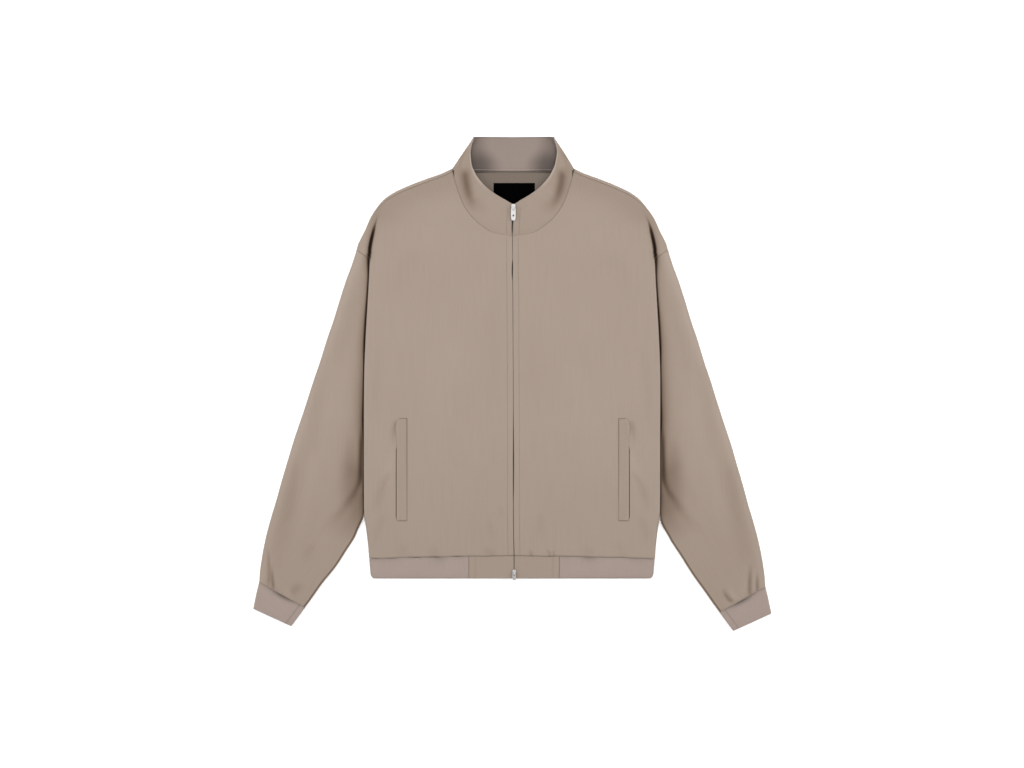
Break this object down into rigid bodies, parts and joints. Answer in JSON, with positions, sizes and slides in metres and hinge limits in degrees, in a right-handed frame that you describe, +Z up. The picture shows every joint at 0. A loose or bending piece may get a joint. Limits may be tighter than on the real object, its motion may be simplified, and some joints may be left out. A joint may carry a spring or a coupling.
{
  "type": "track jacket",
  "caption": "Zip-up track jacket with stand collar, upright pocket welts, rib cuffs and rib waistband, zipped to the neck and laid flat on its back.",
  "frame": {"origin": "on the surface the jacket lies on, under the middle of its outline", "axes": "+X to the wearer's left, +Y from hem to collar, +Z up out of the front"},
  "size_m": [0.8272, 0.7904, 0.0128],
  "materials": {
    "outer_cloth": "smooth woven cloth with a soft sheen, warm taupe",
    "rib_knit": "fine vertical rib knit, matt, warm taupe",
    "zip_tape": "woven tape and moulded coil, darker taupe",
    "zip_metal": "polished silver-coloured metal",
    "label_cloth": "plain black satin label"
  },
  "bodies": {
    "jacket": {"front_right": "outer_cloth", "front_left": "outer_cloth", "back": "outer_cloth", "sleeve_right": "outer_cloth", "sleeve_left": "outer_cloth", "cuff_right": "rib_knit", "cuff_left": "rib_knit", "collar_outer": "outer_cloth", "collar_inner": "rib_knit", "hem_rib": "rib_knit", "hem_tab_right": "outer_cloth", "hem_tab_left": "outer_cloth", "pocket_welt_right": "outer_cloth", "pocket_welt_left": "outer_cloth", "zip_tape_right": "zip_tape", "zip_tape_left": "zip_tape", "zip_coil": "zip_tape", "slider_top": "zip_metal", "slider_end": "zip_metal", "neck_label": "label_cloth"},
    "top_tab": {"pull_tab_top": "zip_metal"},
    "end_tab": {"pull_tab_end": "zip_metal"}
  },
  "joints": [
    {"name": "top_tab_hinge", "type": "hinge", "parent": "jacket", "child": "top_tab", "pos_m": [0.00283, 0.2816, 0.01095], "axis": [-1, 0, 0], "range_deg": [0, 150]},
    {"name": "end_tab_hinge", "type": "hinge", "parent": "jacket", "child": "end_tab", "pos_m": [0.00414, -0.3025, 0.00935], "axis": [-1, 0, 0], "range_deg": [0, 150]}
  ]
}
